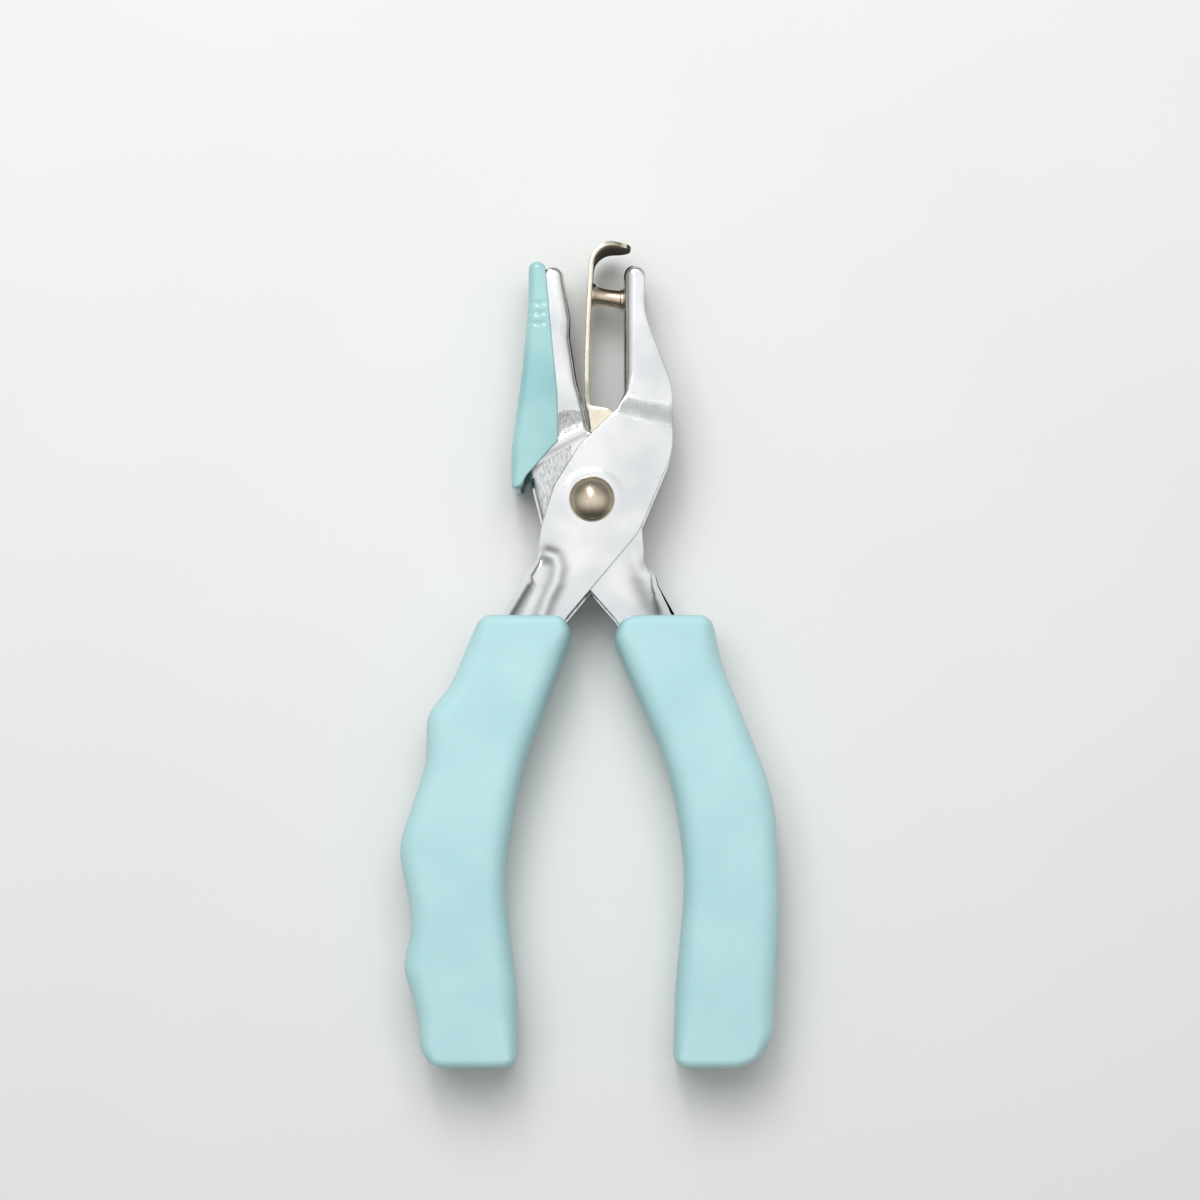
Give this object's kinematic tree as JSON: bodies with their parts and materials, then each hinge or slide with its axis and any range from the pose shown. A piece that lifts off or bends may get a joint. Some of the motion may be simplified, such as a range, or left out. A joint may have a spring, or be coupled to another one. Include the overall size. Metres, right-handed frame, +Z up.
{
  "type": "hand hole punch",
  "caption": "Plier-type hand hole punch with crossed pressed-steel arms on a rivet, contoured grips, a waisted punch pin, a hooked stripper and a hinged chip catcher.",
  "frame": {"origin": "on the surface the tool lies on, below the middle of its length and width", "axes": "+Z up, along the rivet's axis and out of the domed head; +Y from the handles to the jaws; +X from the die jaw's side to the punch jaw's side"},
  "size_m": [0.0708, 0.1558, 0.0181],
  "materials": {
    "chromed_steel": "bright chromed pressed sheet",
    "bronzed_steel": "champagne plated, satin",
    "bright_steel": "bright drawn",
    "grip_plastic": "satin moulded aqua",
    "catcher_plastic": "gloss moulded aqua"
  },
  "bodies": {
    "die_side": {"die_arm": "chromed_steel", "right_grip": "grip_plastic", "pivot_rivet": "bronzed_steel", "rivet_washer": "bronzed_steel", "spring_sleeve": "bright_steel", "torsion_spring": "bright_steel", "die_ring": "bright_steel"},
    "punch_side": {"punch_arm": "chromed_steel", "left_grip": "grip_plastic", "punch_pin": "bronzed_steel"},
    "stripper": {"stripper_strip": "bronzed_steel"},
    "catcher": {"chip_catcher": "catcher_plastic"}
  },
  "joints": [
    {"name": "squeeze", "type": "hinge", "parent": "die_side", "child": "punch_side", "pos_m": [0.0005, 0.0283, 0.009], "axis": [0, 0, 1], "range_deg": [0, 6.6], "stiffness_Nm_per_rad": 1.2, "springref_deg": -20.05, "deforming": ["torsion_spring"]},
    {"name": "stripper_swing", "type": "hinge", "parent": "die_side", "child": "stripper", "pos_m": [0.0005, 0.0283, 0.009], "axis": [0, 0, -1], "range_deg": [0, 1], "stiffness_Nm_per_rad": 0.3, "springref_deg": -5.73},
    {"name": "catcher_open", "type": "hinge", "parent": "die_side", "child": "catcher", "pos_m": [-0.0121, 0.0346, 0.009], "axis": [0, 0, 1], "range_deg": [0, 25]}
  ]
}
